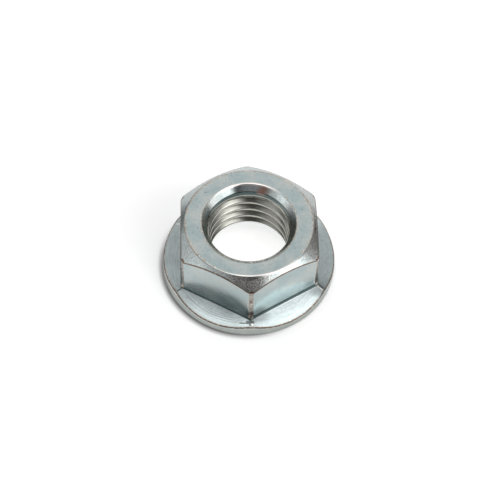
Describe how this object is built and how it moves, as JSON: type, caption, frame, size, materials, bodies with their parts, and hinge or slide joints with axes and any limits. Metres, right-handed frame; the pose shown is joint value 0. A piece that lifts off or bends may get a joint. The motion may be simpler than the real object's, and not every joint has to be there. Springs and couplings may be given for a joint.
{
  "type": "hexagon flange nut",
  "caption": "Hexagon nut with a chamfered top and a round flange that spreads out at its foot, with a threaded through hole.",
  "frame": {"origin": "centre of the flange's bearing face, on the thread axis", "axes": "+Z along the thread axis from the bearing face to the top face; a corner of the hexagon points to -Y, and two flats face +X and -X"},
  "size_m": [0.0196, 0.0196, 0.0078],
  "materials": {
    "zinc_plate": "satin bright zinc plate with worn edges"
  },
  "bodies": {
    "root": {"flange_nut": "zinc_plate"}
  },
  "joints": []
}
